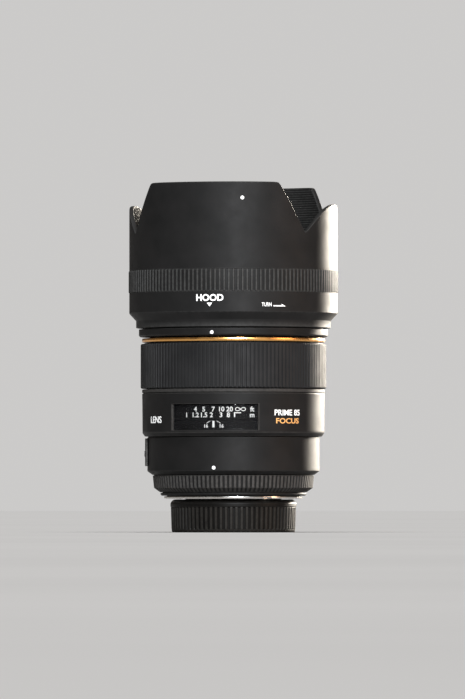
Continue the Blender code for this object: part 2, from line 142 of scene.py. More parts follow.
def even_columns(steps=ROUND_STEPS):
    """Columns for a plain turned piece."""
    return [(360.0 * step / steps, 0.0) for step in range(steps)]


def rib_columns(count, top_share, slope_share=0.12):
    """Columns for ribs: each has an angle and how deep in the groove it lies, from 0 to 1."""
    pitch = 360.0 / count
    rise = slope_share
    fall = slope_share + top_share
    marks = ((0.0, 1.0), (rise, 0.0), (fall, 0.0), (fall + slope_share, 1.0))
    return [(pitch * (rib + share), depth) for rib in range(count) for share, depth in marks]


def skin_rings(bm, rings, closed):
    """Faces between neighbouring rings of vertices, and from the last to the first where closed is true."""
    after_rings = rings[1:] + rings[:1] if closed else rings[1:]
    for lower, upper in zip(rings, after_rings):
        count = max(len(lower), len(upper))
        for index in range(count):
            after = (index + 1) % count
            corners = []
            for ring, at in ((lower, index), (lower, after), (upper, after), (upper, index)):
                vert = ring[at % len(ring)]
                if vert not in corners:
                    corners.append(vert)
            bm.faces.new(corners)


def held(profile, closed):
    """The profile with a point close to each end of every long run, so that flat walls shade flat."""
    points = [tuple(point) + (0.0,) * (3 - len(point)) for point in profile]
    result = []
    for start, end in zip(points, points[1:] + points[:1]):
        result.append(start)
        length = math.dist(start[:2], end[:2])
        if length < LONG_RUN or (end is points[0] and not closed):
            continue
        for share in (HOLD / length, 1 - HOLD / length):
            result.append(tuple(a + (b - a) * share for a, b in zip(start, end)))
    return result


def lathe(profile, columns=None):
    """Turns points about Z: (radius, height), with a groove depth where there are ribs."""
    columns = columns or even_columns()
    closed = profile[0][0] != 0
    bm = bmesh.new()
    rings = []
    for radius, height, groove in held(profile, closed):
        if radius == 0:
            rings.append([bm.verts.new((0, 0, height))])
            continue
        spots = [around(radius - groove * depth, angle, height) for angle, depth in columns]
        rings.append([bm.verts.new(spot) for spot in spots])
    skin_rings(bm, rings, closed)
    return bm


def eased(profile, radius):
    """The closed profile with its corners rounded to about this radius, or less on a short side."""
    steps = 3
    result = []
    count = len(profile)
    for index, point in enumerate(profile):
        corner = Vector(point)
        before = Vector(profile[index - 1]) - corner
        after = Vector(profile[(index + 1) % count]) - corner
        reach = min(radius, before.length * 0.4, after.length * 0.4)
        start = corner + before.normalized() * reach
        end = corner + after.normalized() * reach
        for step in range(steps + 1):
            share = step / steps
            bent = start.lerp(corner, share).lerp(corner.lerp(end, share), share)
            result.append((bent.x, bent.y))
    return result


def arc_solid(outline, middle, half, steps, bm=None):
    """A closed body of a (radius, height) outline swept over middle - half to middle + half."""
    bm = bm or bmesh.new()
    rows = []
    for step in range(steps + 1):
        angle = middle - half + 2 * half * step / steps
        rows.append([bm.verts.new(around(radius, angle, height)) for radius, height in outline])
    skin_rings(bm, rows, closed=False)
    bm.faces.new(rows[0])
    bm.faces.new(rows[-1])
    return bm


def block_outline(inner, outer, bottom, top):
    """A rectangle of (radius, height) points."""
    return [(inner, bottom), (outer, bottom), (outer, top), (inner, top)]


def carve(piece, bm):
    """Cuts a body, made in millimetres, out of a piece."""
    bmesh.ops.recalc_face_normals(bm, faces=bm.faces)
    bmesh.ops.scale(bm, vec=(MM, MM, MM), verts=bm.verts)
    mesh = bpy.data.meshes.new("cutter")
    bm.to_mesh(mesh)
    bm.free()
    cutter = bpy.data.objects.new("cutter", mesh)
    bpy.context.scene.collection.objects.link(cutter)
    modifier = piece.modifiers.new("carve", "BOOLEAN")
    modifier.object = cutter
    modifier.solver = "EXACT"
    bpy.context.view_layer.update()
    graph = bpy.context.evaluated_depsgraph_get()
    carved = bpy.data.meshes.new_from_object(piece.evaluated_get(graph))
    piece.modifiers.clear()
    piece.data = carved
    bpy.data.objects.remove(cutter)
    bpy.data.meshes.remove(mesh)


# --------------------------------------------------------------- materials


def new_material(name):
    """A node material, with its nodes, links and shader."""
    material = bpy.data.materials.new(name)
    material.use_nodes = True
    nodes = material.node_tree.nodes
    return material, nodes, material.node_tree.links, nodes["Principled BSDF"]


def coordinates(nodes, links, scale, stretch=(1, 1, 1)):
    """The piece's own coordinates, scaled."""
    place = nodes.new("ShaderNodeTexCoord")
    mapping = nodes.new("ShaderNodeMapping")
    mapping.inputs["Scale"].default_value = [scale * part for part in stretch]
    links.new(place.outputs["Object"], mapping.inputs["Vector"])
    return mapping.outputs["Vector"]


def noise(nodes, links, scale, detail=4, stretch=(1, 1, 1)):
    """A noise value that varies over about 1 / scale metres."""
    texture = nodes.new("ShaderNodeTexNoise")
    texture.inputs["Scale"].default_value = 1.0
    texture.inputs["Detail"].default_value = detail
    links.new(coordinates(nodes, links, scale, stretch), texture.inputs["Vector"])
    return texture.outputs["Fac"]


def ramp(nodes, links, value, low, high, start=0.3, end=0.7):
    """Maps a 0 to 1 value on to a range of greys or colours."""
    node = nodes.new("ShaderNodeValToRGB")
    node.color_ramp.elements[0].position = start
    node.color_ramp.elements[1].position = end
    for element, tone in zip(node.color_ramp.elements, (low, high)):
        element.color = (*tone, 1) if isinstance(tone, tuple) else (tone, tone, tone, 1)
    links.new(value, node.inputs["Fac"])
    return node.outputs["Color"]


def bump(nodes, links, shader, height, strength, distance):
    """Fine relief on the shader, this many metres deep at most."""
    node = nodes.new("ShaderNodeBump")
    node.inputs["Strength"].default_value = strength
    node.inputs["Distance"].default_value = distance
    links.new(height, node.inputs["Height"])
    links.new(node.outputs["Normal"], shader.inputs["Normal"])


def edge_wear_and_highlight(nodes, links, colour, worn_and_highlight_tone, amount):
    """Mixes a lighter tone in where the surface is sharply convex, broken up by a fine noise. The lighter
    edges are partly wear and partly a painted highlight.
    """
    attribute = nodes.new("ShaderNodeAttribute")
    attribute.attribute_name = "edge"
    broken = nodes.new("ShaderNodeMath")
    broken.operation = "MULTIPLY"
    links.new(attribute.outputs["Fac"], broken.inputs[0])
    links.new(ramp(nodes, links, noise(nodes, links, 700, 4), 0.55, 1.0), broken.inputs[1])
    # Mask of the lighter edges, which are partly wear and partly painted highlight.
    wear_and_highlight_mask = ramp(nodes, links, broken.outputs["Value"], 0.0, amount, 0.15, 0.9)
    mix = nodes.new("ShaderNodeMix")
    mix.data_type = "RGBA"
    mix.inputs["B"].default_value = (*worn_and_highlight_tone, 1)
    links.new(wear_and_highlight_mask, mix.inputs["Factor"])
    links.new(colour, mix.inputs["A"])
    return mix.outputs["Result"]


def coated(name, dark, light, rough, grain, strength, worn_and_highlight_tone=None, metallic=0.0, specular=0.5):
    """Paint, moulded plastic or rubber: mottled colour, uneven gloss and a fine grain, and, where a worn
    tone is given, lighter edges that are partly wear and partly painted highlight.
    """
    material, nodes, links, shader = new_material(name)
    colour = ramp(nodes, links, noise(nodes, links, 90, 6), dark, light)
    # Lighter convex edges: partly wear, partly painted highlight.
    if worn_and_highlight_tone:
        colour = edge_wear_and_highlight(nodes, links, colour, worn_and_highlight_tone, 0.6)
    links.new(colour, shader.inputs["Base Color"])
    links.new(ramp(nodes, links, noise(nodes, links, 160, 5), *rough), shader.inputs["Roughness"])
    shader.inputs["Metallic"].default_value = metallic
    shader.inputs["Specular IOR Level"].default_value = specular
    bump(nodes, links, shader, noise(nodes, links, grain, 3), strength, 0.00004)
    return name, material


def turned_metal(name, dark, light, rough, lines=9000, strength=0.35):
    """Bare or anodised metal with fine turning lines that run round the axis."""
    material, nodes, links, shader = new_material(name)
    fine = noise(nodes, links, lines, 2, (0.01, 0.01, 1))
    links.new(ramp(nodes, links, fine, dark, light), shader.inputs["Base Color"])
    links.new(ramp(nodes, links, noise(nodes, links, 200, 5), *rough), shader.inputs["Roughness"])
    shader.inputs["Metallic"].default_value = 1.0
    bump(nodes, links, shader, fine, strength, 0.00001)
    return name, material


def glass(name, tint, rough=0.0, ior=1.62):
    """Polished optical glass with a trace of smear."""
    material, nodes, links, shader = new_material(name)
    smear = noise(nodes, links, 60, 4)
    deep = tuple(0.94 * part for part in tint)
    links.new(ramp(nodes, links, smear, deep, tint), shader.inputs["Base Color"])
    links.new(ramp(nodes, links, smear, rough, rough + 0.03), shader.inputs["Roughness"])
    shader.inputs["Transmission Weight"].default_value = 1.0
    shader.inputs["IOR"].default_value = ior
    return name, material


def pane(name, colour, alpha):
    """A thin clear pane that light passes straight through."""
    material, nodes, links, shader = new_material(name)
    smear = noise(nodes, links, 120, 5)
    deep = tuple(0.8 * part for part in colour)
    links.new(ramp(nodes, links, smear, deep, colour), shader.inputs["Base Color"])
    links.new(ramp(nodes, links, smear, 0.03, 0.09), shader.inputs["Roughness"])
    shader.inputs["Specular IOR Level"].default_value = 0.3
    shader.inputs["Alpha"].default_value = alpha
    return name, material


def make_materials():
    """One material for each slot of the record, by its name."""
    # The worn tones below are painted on convex edges: partly wear, partly painted highlight.
    made = [
        coated(
            "barrel_black",
            dark=0.006,
            light=(0.010, 0.0095, 0.0095),
            rough=(0.46, 0.58),
            grain=3200,
            strength=0.5,
            worn_and_highlight_tone=(0.08, 0.076, 0.072),
            specular=0.12,
        ),
        coated(
            "hood_plastic",
            dark=0.007,
            light=(0.011, 0.0105, 0.0105),
            rough=(0.50, 0.60),
            grain=3600,
            strength=0.5,
            worn_and_highlight_tone=(0.06, 0.06, 0.058),
            specular=0.12,
        ),
        coated(
            "grip_rubber",
            dark=(0.007, 0.007, 0.0075),
            light=(0.012, 0.012, 0.0125),
            rough=(0.58, 0.72),
            grain=5200,
            strength=0.6,
            specular=0.22,
        ),
        coated(
            "cap_plastic",
            dark=(0.003, 0.0027, 0.0025),
            light=(0.006, 0.0055, 0.005),
            rough=(0.36, 0.48),
            grain=2600,
            strength=0.4,
            worn_and_highlight_tone=(0.03, 0.028, 0.025),
            specular=0.08,
        ),
        coated("switch_plastic", 0.02, 0.03, (0.35, 0.5), 3000, 0.4),
        coated(
            "scale_black",
            dark=0.003,
            light=0.006,
            rough=(0.55, 0.7),
            grain=3000,
            strength=0.3,
            specular=0.1,
        ),
        coated("inner_black", 0.004, 0.009, (0.7, 0.85), 4000, 0.5),
        coated("circuit_green", (0.008, 0.06, 0.03), (0.015, 0.09, 0.045), (0.3, 0.5), 900, 0.5),
        coated(
            "blade_metal",
            dark=(0.03, 0.03, 0.032),
            light=(0.055, 0.055, 0.06),
            rough=(0.3, 0.42),
            grain=4000,
            strength=0.2,
            metallic=0.8,
        ),
        coated("mark_white", (0.86, 0.86, 0.85), (0.92, 0.92, 0.91), (0.45, 0.55), 3000, 0.2),
        coated("mark_orange", (0.62, 0.30, 0.09), (0.74, 0.38, 0.13), (0.4, 0.5), 3000, 0.2),
        turned_metal("accent_gold", (0.72, 0.36, 0.10), (0.86, 0.47, 0.16), (0.22, 0.34)),
        turned_metal("mount_metal", (0.62, 0.60, 0.58), (0.80, 0.78, 0.75), (0.16, 0.28)),
        turned_metal("inner_metal", (0.42, 0.42, 0.43), (0.58, 0.58, 0.59), (0.3, 0.42)),
        turned_metal("inner_brass", (0.50, 0.36, 0.14), (0.66, 0.49, 0.22), (0.28, 0.4)),
        pane("window_pane", (0.01, 0.01, 0.012), 0.14),
        glass("optical_glass", (0.93, 0.98, 0.96)),
    ]
    return dict(made)


MATERIAL = make_materials()


def dress_carried_nodes():
    """Every CAD node takes the material of its slot. Those that a piece replaces are hidden later."""
    for name, obj in frame["nodes"].items():
        obj.data.materials.clear()
        obj.data.materials.append(MATERIAL[SLOT_OF[name]])
        obj.data.shade_smooth()
        obj.data.set_sharp_from_angle(angle=math.radians(32))


# ------------------------------------------------------------------ pieces


def make_rear_cap():
    """The cup under the lens, ribbed round its side, with the three lugs that hold the mount."""
    radius, low, high = size_of("rear_cap")
    side = radius - 0.2
    groove = 0.42
    rib_low = low + 1.3
    rib_high = high - 3.5
    inner = 25.8
    profile = [
        (0.0, low),
        (side - 1.2, low),
        (side - 0.65, low + 0.12),
        (side - 0.42, low + 0.5),
        (side - 0.36, rib_low),
        (side - 0.28, rib_low + 0.35, groove),
        (side + 0.02, rib_high - 0.35, groove),
        (side - 0.05, rib_high),
        (side + 0.1, rib_high + 0.12),
        (radius, rib_high + 0.3),
        (radius, high - 1.9),
        (radius - 0.2, high - 1.4),
        (radius - 0.8, high - 0.6),
        (radius - 1.5, high - 0.12),
        (radius - 1.9, high),
        (inner, high),
        (inner, low + 2.0),
        (0.0, low + 2.0),
    ]
    bm = lathe(profile, rib_columns(CAP_RIBS, 0.42))
    lug = block_outline(22.4, inner + 0.5, high - 3.8, high - 2.2)
    for angle in LUG_ANGLES:
        arc_solid(lug, angle, LUG_HALF, 16, bm)
    add_piece("rear_cap_shell", bm, MATERIAL["cap_plastic"], "rear_cap")


def make_mount_plate():
    """The bright bayonet plate: a flange with screws and a lock notch, and a skirt with three lugs."""
    radius, low, high = size_of("mount_plate")
    skirt = 21.9
    throat = 20.9
    face = high - 1.1
    profile = [(throat, low), (skirt, low), (skirt, face), (radius, face), (radius, high), (throat, high)]
    bm = lathe(eased(profile, 0.16))
    lug = block_outline(skirt - 0.4, 23.5, low + 0.6, low + 2.1)
    for angle in LUG_ANGLES:
        arc_solid(lug, angle, LUG_HALF, 16, bm)
    plate = add_piece("bayonet_plate", bm, MATERIAL["mount_metal"], "mount_plate")
    notch_angle = 43.0
    notch_half = 3.4
    notch = block_outline(29.4, radius + 1, face - 1, face + 0.6)
    carve(plate, arc_solid(notch, notch_angle, notch_half, 8))
    for number, angle in enumerate((20.0, 95.0, 165.0, 235.0, 305.0), 1):
        make_screw("mount_screw_" + str(number), 26.6, angle, face)


def make_screw(name, distance, angle, face):
    """A screw head with a round recess, let into the bayonet face."""
    head = 1.3
    proud = 0.12
    depth = 0.3
    columns = even_columns(24)
    outline = [(0.35, 0), (0.5, -proud * 0.8), (head - 0.2, -proud), (head, -proud * 0.4), (head, depth)]
    bm = bmesh.new()
    rings = [[bm.verts.new((0, 0, 0))]]
    for radius, height in outline:
        rings.append([bm.verts.new(around(radius, turn, height)) for turn, _ in columns])
    rings.append([bm.verts.new((0, 0, depth))])
    skin_rings(bm, rings, closed=False)
    bmesh.ops.translate(bm, vec=around(distance, angle, face), verts=bm.verts)
    add_piece(name, bm, MATERIAL["mount_metal"], body=BODY_OF["mount_plate"])


def make_seat_ring():
    """The ring above the plate. A lip below and one above close the seams to its neighbours."""
    radius, low, high = size_of("mount_seat_ring")
    plate_top = size_of("mount_plate")[2]
    grip_low = size_of("rear_grip_ring")[1]
    inner = 24.2
    lower_lip = radius - 2.8
    upper_lip = radius - 0.8
    profile = [
        (inner, plate_top),
        (lower_lip, plate_top),
        (lower_lip, low),
        (radius - 0.5, low),
        (radius, low + 0.5),
        (radius, high),
        (upper_lip, high),
        (upper_lip, grip_low),
        (inner, grip_low),
    ]
    add_piece("seat_ring", lathe(eased(profile, 0.15)), MATERIAL["barrel_black"], "mount_seat_ring")


def make_rear_grip():
    """The ribbed ring above the mount, whose ribs run down on to its chamfer."""
    radius, low, high = size_of("rear_grip_ring")
    inner = 32.2
    groove = 0.36
    profile = [
        (inner, low),
        (radius - 3.4, low),
        (radius - 3.15, low + 0.15, groove * 0.6),
        (radius - 0.75, low + 1.85, groove),
        (radius - 0.58, low + 2.1, groove),
        (radius - 0.06, high - 0.5, groove),
        (radius - 0.02, high - 0.15),
        (radius - 0.25, high),
        (inner, high),
    ]
    bm = lathe(profile, rib_columns(REAR_RIBS, 0.46))
    add_piece("rear_grip", bm, MATERIAL["barrel_black"], "rear_grip_ring")


def make_lower_barrel():
    """The plain shell with the mount dot. A lip and a spigot close the seams to its neighbours."""
    radius, low, high = size_of("lower_barrel")
    grip_top = size_of("rear_grip_ring")[2]
    inner = 32.2
    wall = radius - 1.9
    lip = 36.2
    spigot = radius - 0.35
    spigot_top = size_of("main_barrel")[1] + 0.5
    profile = [
        (inner, grip_top),
        (lip, grip_top),
        (lip, low),
        (radius - 2.3, low),
        (radius, low + 1.7),
        (radius, high),
        (spigot, high),
        (spigot, spigot_top),
        (wall, spigot_top),
        (wall, low + 1.6),
        (inner, low + 1.6),
    ]
    add_piece("lower_shell", lathe(eased(profile, 0.28)), MATERIAL["barrel_black"], "lower_barrel")
    add_dot("mount_dot", radius, 0.0, low + 3.1, BODY_OF["lower_barrel"])


def make_switch():
    """The focus-mode switch on the left: a knob with four grip ribs, and its panel."""
    radius, low, high = size_of("focus_mode_switch")
    middle = -83.0
    outline = block_outline(radius - 1.3, radius - 0.25, low, high)
    bm = arc_solid(eased(outline, 0.25), middle, 2.9, 8)
    for step in range(4):
        height = low + 0.45 + 0.63 * step
        rib = block_outline(radius - 0.6, radius - 0.02, height, height + 0.32)
        arc_solid(rib, middle, 2.3, 6, bm)
    add_piece("mode_switch_knob", bm, MATERIAL["switch_plastic"], "focus_mode_switch")
    make_switch_plate(middle)


def make_switch_plate(middle):
    """The raised panel with the slot that the knob slides in, and a mark at each end of the slot."""
    radius, low, high = size_of("switch_plate")
    slot_middle = 37.2
    slot_half = 3.4
    slot_half_angle = 3.4
    slot_low = slot_middle - slot_half
    slot_high = slot_middle + slot_half
    outline = eased(block_outline(radius - 0.7, radius, low, high), 0.2)
    bm = arc_solid(outline, middle, 15.0, 40)
    panel = add_piece("switch_panel", bm, MATERIAL["barrel_black"], "switch_plate")
    slot = block_outline(radius - 2, radius + 1, slot_low, slot_high)
    carve(panel, arc_solid(slot, middle, slot_half_angle, 10))
    body = BODY_OF["switch_plate"]
    for name, height in (("switch_mark_high", slot_high + 1.2), ("switch_mark_low", slot_low - 1.2)):
        add_bar(name, radius, height - 0.2, height + 0.2, middle, 1.6, 4, body)


def window_columns(half, corner):
    """Angles that are even round the barrel and exact at the two sides of the window."""
    sides = [-half, -half + corner, half - corner, half]
    angles = sides + [360.0 * step / ROUND_STEPS - 180.0 for step in range(ROUND_STEPS)]
    ordered = []
    for angle in sorted(angles):
        if ordered and angle - ordered[-1] < 0.35:
            if angle in sides:
                ordered[-1] = angle
            continue
        ordered.append(angle)
    return ordered


def make_main_barrel():
    """The shell with the window, and a slot in its neck for the manual drive ring's key."""
    radius = size_of("main_barrel")[0]
    pane_low, pane_high = size_of("distance_window")[1:]
    inner = 40.0
    neck = 38.1
    sill = (radius - 0.2, pane_low - 0.3, 0.0)
    lintel = (radius - 0.1, pane_high + 0.3, 0.0)
    opening = (sill, lintel, (inner, lintel[1], 0.0), (inner, sill[1], 0.0))
    rows = held(barrel_outline(inner, neck, opening), True)
    bm = windowed_shell(rows, opening)
    shell = add_piece("barrel_shell", bm, MATERIAL["barrel_black"], "main_barrel")
    drive_low, drive_high = size_of("manual_drive_ring")[1:]
    slot_middle = 113.5
    slot_half = 49.0
    slot = block_outline(neck - 2, neck + 0.8, drive_low - 0.4, drive_high + 0.4)
    carve(shell, arc_solid(slot, slot_middle, slot_half, 40))
    make_window()


def barrel_outline(inner, neck, opening):
    """The shell's outline, anticlockwise from its foot. The neck at the top carries the focus ring."""
    radius, low, high = size_of("main_barrel")
    barrel_top = size_of("focus_ring")[1] - 0.4
    sill, lintel, inner_lintel, inner_sill = opening
    return [
        (inner, low),
        (inner + 0.35, low),
        (radius - 0.45, low + 1.15),
        (radius - 0.22, low + 1.5),
        (radius - 0.2, sill[1] - 0.2),
        sill,
        lintel,
        (radius - 0.1, lintel[1] + 0.2),
        (radius - 0.02, barrel_top - 2.1),
        (radius - 0.12, barrel_top - 1.95),
        (radius - 0.5, barrel_top - 1.85),
        (radius - 0.5, barrel_top - 1.6),
        (radius - 0.12, barrel_top - 1.5),
        (radius, barrel_top - 1.35),
        (radius, barrel_top - 0.2),
        (radius - 0.2, barrel_top),
        (neck, barrel_top),
        (neck, high),
        (neck - 1.3, high),
        (neck - 1.3, barrel_top - 3.5),
        (inner, barrel_top - 3.5),
        inner_lintel,
        inner_sill,
    ]


def windowed_shell(rows, opening):
    """A turned shell whose faces inside the window are left out, with walls round the opening."""
    half = 29.0
    sill, lintel, inner_lintel, inner_sill = (rows.index(point) for point in opening)
    outside = list(range(sill, lintel + 1))
    within = list(range(inner_lintel, inner_sill + 1))
    opened = set(outside[:-1] + within[:-1])
    columns = window_columns(half, 1.0)
    bm = bmesh.new()
    rings = []
    for reach, height, _ in rows:
        rings.append([bm.verts.new(around(reach, angle, height)) for angle in columns])
    count = len(columns)
    for row, (lower, upper) in enumerate(zip(rings, rings[1:] + rings[:1])):
        for index in range(count):
            after = (index + 1) % count
            middle = (columns[index] + columns[after]) / 2 if after else 180.0
            if row not in opened or abs(middle) > half:
                bm.faces.new((lower[index], lower[after], upper[after], upper[index]))
    inside = [index for index, angle in enumerate(columns) if abs(angle) <= half + 0.001]
    for outer_row, inner_row in ((outside[0], within[-1]), (outside[-1], within[0])):
        for index, after in zip(inside, inside[1:]):
            near = (rings[outer_row][index], rings[outer_row][after])
            bm.faces.new(near + (rings[inner_row][after], rings[inner_row][index]))
    for index in (inside[0], inside[-1]):
        bm.faces.new([rings[row][index] for row in outside + within])
    return bm


def make_window():
    """The clear pane, and under it the index plate with its bar and depth marks."""
    radius, low, high = size_of("distance_window")
    outline = eased(block_outline(radius - 0.9, radius, low, high), 0.12)
    bm = arc_solid(outline, 0.0, 28.5, 60)
    add_piece("window_glass", bm, MATERIAL["window_pane"], "distance_window", sharp=20)
    radius, low, high = size_of("index_plate")
    plate = arc_solid(block_outline(radius - 0.8, radius, low, high), 0.0, 33.0, 60)
    add_piece("index_panel", plate, MATERIAL["scale_black"], "index_plate")
    foot = 47.5
    body = BODY_OF["index_plate"]
    add_bar("index_bar", radius, foot, foot + 3.0, 0.0, 0.72, 4, body)
    for side, name in ((-1, "left"), (1, "right")):
        place = (radius, side * 5.2, foot - 0.1)
        add_text("depth_mark_" + name, "16", 1.6, place, body, bold=0.05)
        make_depth_line("depth_line_" + name, radius, side, foot + 1.85, body)


def make_depth_line(name, radius, side, foot, body):
    """A line that leans from a depth mark towards the index bar."""
    half = 0.28
    corners = ((-half, -SUNK), (half, -SUNK), (half, RAISED), (-half, RAISED))
    bm = bmesh.new()
    rows = []
    for share in (0.0, 0.5, 1.0):
        angle = side * (4.7 - 2.5 * share)
        height = foot + 1.1 * share
        rows.append([bm.verts.new(around(radius + lift, angle + turn, height)) for turn, lift in corners])
    skin_rings(bm, rows, closed=False)
    bm.faces.new(rows[0])
    bm.faces.new(rows[-1])
    add_piece(name, bm, MATERIAL["mark_white"], body=body)


def make_drum():
    """The distance drum with its row of feet over its row of metres."""
    radius, low, high = size_of("distance_drum")
    inner = radius - 0.8
    hub = 32.2
    web = high - 1.2
    profile = [(hub, web), (inner, web), (inner, low), (radius, low), (radius, high), (hub, high)]
    add_piece("drum_band", lathe(eased(profile, 0.08)), MATERIAL["scale_black"], "distance_drum")
    body = BODY_OF["distance_drum"]
    feet_row = low + 3.75
    metre_row = low + 1.15
    tall = 2.2
    bold = 0.07
    feet = (("4", -12.8), ("5", -6.9), ("7", -0.4), ("10", 5.0), ("20", 10.6))
    metres = (("1", -19.5), ("1.2", -13.0), ("1.5", -6.9), ("2", -1.6), ("3", 4.9), ("8", 9.8))
    for text, angle in feet:
        add_text("feet_" + text, text, tall, (radius, angle, feet_row), body, bold)
    for text, angle in metres:
        name = "metres_" + text.replace(".", "_")
        add_text(name, text, tall, (radius, angle, metre_row), body, bold)
    add_text("unit_feet", "ft", tall, (radius, 25.6, feet_row), body, bold)
    add_text("unit_metres", "m", tall, (radius, 25.6, metre_row), body, bold)
    add_infinity("infinity_sign", radius, 17.8, feet_row + 1.0, body)
    post_top = metre_row + tall
    add_bar("infinity_post", radius, metre_row, post_top, 13.9, 0.4, 2, body)
    add_bar("infinity_beam", radius, post_top - 0.45, post_top, 16.2, 1.9, 6, body)


def front_ring_outline(radius, low, high):
    """Outline of the front ring, with the step that the hood slides on to."""
    return [
        (37.0, low),
        (radius - 0.6, low),
        (radius, low + 0.6),
        (radius, low + 3.5),
        (41.2, low + 3.5),
        (41.2, high),
        (39.6, high),
        (39.6, low + 3.0),
        (37.0, low + 3.0),
    ]


def make_front_rings():
    """The gold ring, the front ring with the hood's bayonet tabs, and the rings round the glass."""
    radius, low, high = size_of("accent_ring")
    crown = (low + high) / 2
    profile = [(38.5, low), (radius - 0.12, low), (radius, crown), (radius - 0.12, high), (38.5, high)]
    add_piece("gold_ring", lathe(eased(profile, 0.2)), MATERIAL["accent_gold"], "accent_ring")
    radius, low, high = size_of("front_ring")
    bm = lathe(eased(front_ring_outline(radius, low, high), 0.22))
    tab = block_outline(40.9, 42.2, high - 5.0, high - 3.6)
    for angle in TAB_ANGLES:
        arc_solid(tab, angle, TAB_HALF, 20, bm)
    add_piece("hood_bayonet", bm, MATERIAL["barrel_black"], "front_ring")
    add_dot("front_dot", radius, 0.0, low + 1.5, BODY_OF["front_ring"])
    make_filter_ring()
    make_front_plate()


def make_filter_ring():
    """The rim that a filter screws into, with its thread as equal ridges."""
    radius, low, high = size_of("filter_ring")
    thread_top = high - 0.4
    turns = 8
    pitch = 0.75
    profile = [(38.0, low), (39.3, low), (39.3, high - 1.2), (radius, high - 1.2), (radius, high - 0.15)]
    profile += [(radius - 0.15, high), (38.75, high)]
    for turn in range(turns):
        top = thread_top - pitch * turn
        profile += [(38.5, top), (38.12, top - pitch / 2)]
    profile.append((38.0, thread_top - pitch * turns))
    add_piece("filter_thread", lathe(profile), MATERIAL["barrel_black"], "filter_ring")


def make_front_plate():
    """The blank ring round the front element, with light-trap steps down its bore."""
    radius, low, high = size_of("front_plate")
    inner_low = 32.2
    inner_high = 34.8
    steps = 7
    profile = [(inner_low, low), (radius, low), (radius, high), (inner_high, high)]
    for step in range(1, steps):
        share = step / steps
        edge = inner_high + (inner_low - inner_high) * share
        height = high + (low - high) * share
        profile += [(edge, height + 0.12), (edge + 0.12, height)]
    add_piece("front_ring_plate", lathe(profile), MATERIAL["barrel_black"], "front_plate")


def make_focus_ring():
    """The ribbed rubber grip and the core that it is stretched over."""
    radius, low, high = size_of("focus_grip")
    groove = 0.45
    floor = radius - groove
    inner = 40.9
    profile = [
        (inner, low),
        (floor, low),
        (radius - 0.2, low + 0.14, groove - 0.2),
        (radius - 0.05, low + 0.38, groove - 0.05),
        (radius, low + 0.7, groove),
        (radius, high - 0.7, groove),
        (radius - 0.05, high - 0.38, groove - 0.05),
        (radius - 0.2, high - 0.14, groove - 0.2),
        (floor, high),
        (inner, high),
    ]
    bm = lathe(profile, rib_columns(GRIP_RIBS, 0.5))
    add_piece("rubber_grip", bm, MATERIAL["grip_rubber"], "focus_grip")
    radius, low, high = size_of("focus_ring")
    profile = [(38.4, low), (radius, low), (radius, high), (38.4, high)]
    add_piece("focus_core", lathe(eased(profile, 0.15)), MATERIAL["barrel_black"], "focus_ring")


# -------------------------------------------------------------------- hood


def soft_min(first, second, blend):
    """The smaller of two values, with a smooth turn of about this size where they cross."""
    return (first + second - math.sqrt((first - second) ** 2 + blend * blend)) / 2


def rim_height(angle, top):
    """Height of the hood's rim: long petals at 0 and 180, short ones at 90 and 270, notches between."""
    turn = abs((angle + 90.0) % 180.0 - 90.0)
    side = top - NOTCH_DEPTH * (turn - LONG_HALF) / (NOTCH - LONG_HALF)
    rise = top - NOTCH_DEPTH + (NOTCH_DEPTH - SHOULDER_DEPTH) * (turn - NOTCH) / (SHOULDER - NOTCH)
    crown = top - SHORT_DEPTH - (SHOULDER_DEPTH - SHORT_DEPTH) * ((90.0 - turn) / (90.0 - SHOULDER)) ** 2
    long_petal = soft_min(top, side, 1.1)
    short_petal = soft_min(rise, crown, 0.6)
    return -soft_min(-long_petal, -short_petal, 0.9)


def zip_columns(bm, left, right):
    """Faces between two upright rows of (level, vertex), where one may reach higher than the other."""
    left = list(left)
    right = list(right)
    while len(left) > 1 or len(right) > 1:
        next_left = left[1][0] if len(left) > 1 else math.inf
        next_right = right[1][0] if len(right) > 1 else math.inf
        corners = [left[0][1], right[0][1]]
        if next_right <= next_left:
            right.pop(0)
            corners.append(right[0][1])
        if next_left <= next_right:
            left.pop(0)
            corners.append(left[0][1])
        bm.faces.new(corners)


def hood_grooves(low, high, wall, pitch, depth):
    """The inner wall's saw-tooth grooves, from the bottom up, as (level, radius, height)."""
    rows = []
    count = int((high - low) / pitch)
    for number in range(count):
        height = low + pitch * number
        rows.append((2 * number, wall, height))
        rows.append((2 * number + 1, wall - depth, height + pitch * 0.75))
    return rows


def hood_outline(radius, band, low):
    """The outside of the hood from its inner foot up to just over the ribbed band."""
    groove = 0.4
    return [
        (42.8, low + 5.7),
        (42.8, low + 0.15),
        (42.95, low),
        (radius - 3.35, low),
        (radius - 3.15, low + 0.2),
        (radius - 3.1, low + 3.1),
        (radius - 3.0, low + 3.35),
        (radius - 0.25, low + 6.3),
        (radius, low + 6.75),
        (radius, low + 6.95),
        (radius, low + 15.6),
        (radius, low + 15.8),
        (radius - 0.12, low + 15.95),
        (band - 0.05, low + 16.1, groove),
        (band, low + 16.5, groove),
        (band, low + 25.4, groove),
        (band - 0.05, low + 25.8, groove),
        (radius - 0.12, low + 25.95),
        (radius, low + 26.1),
        (radius, low + 26.4),
    ]


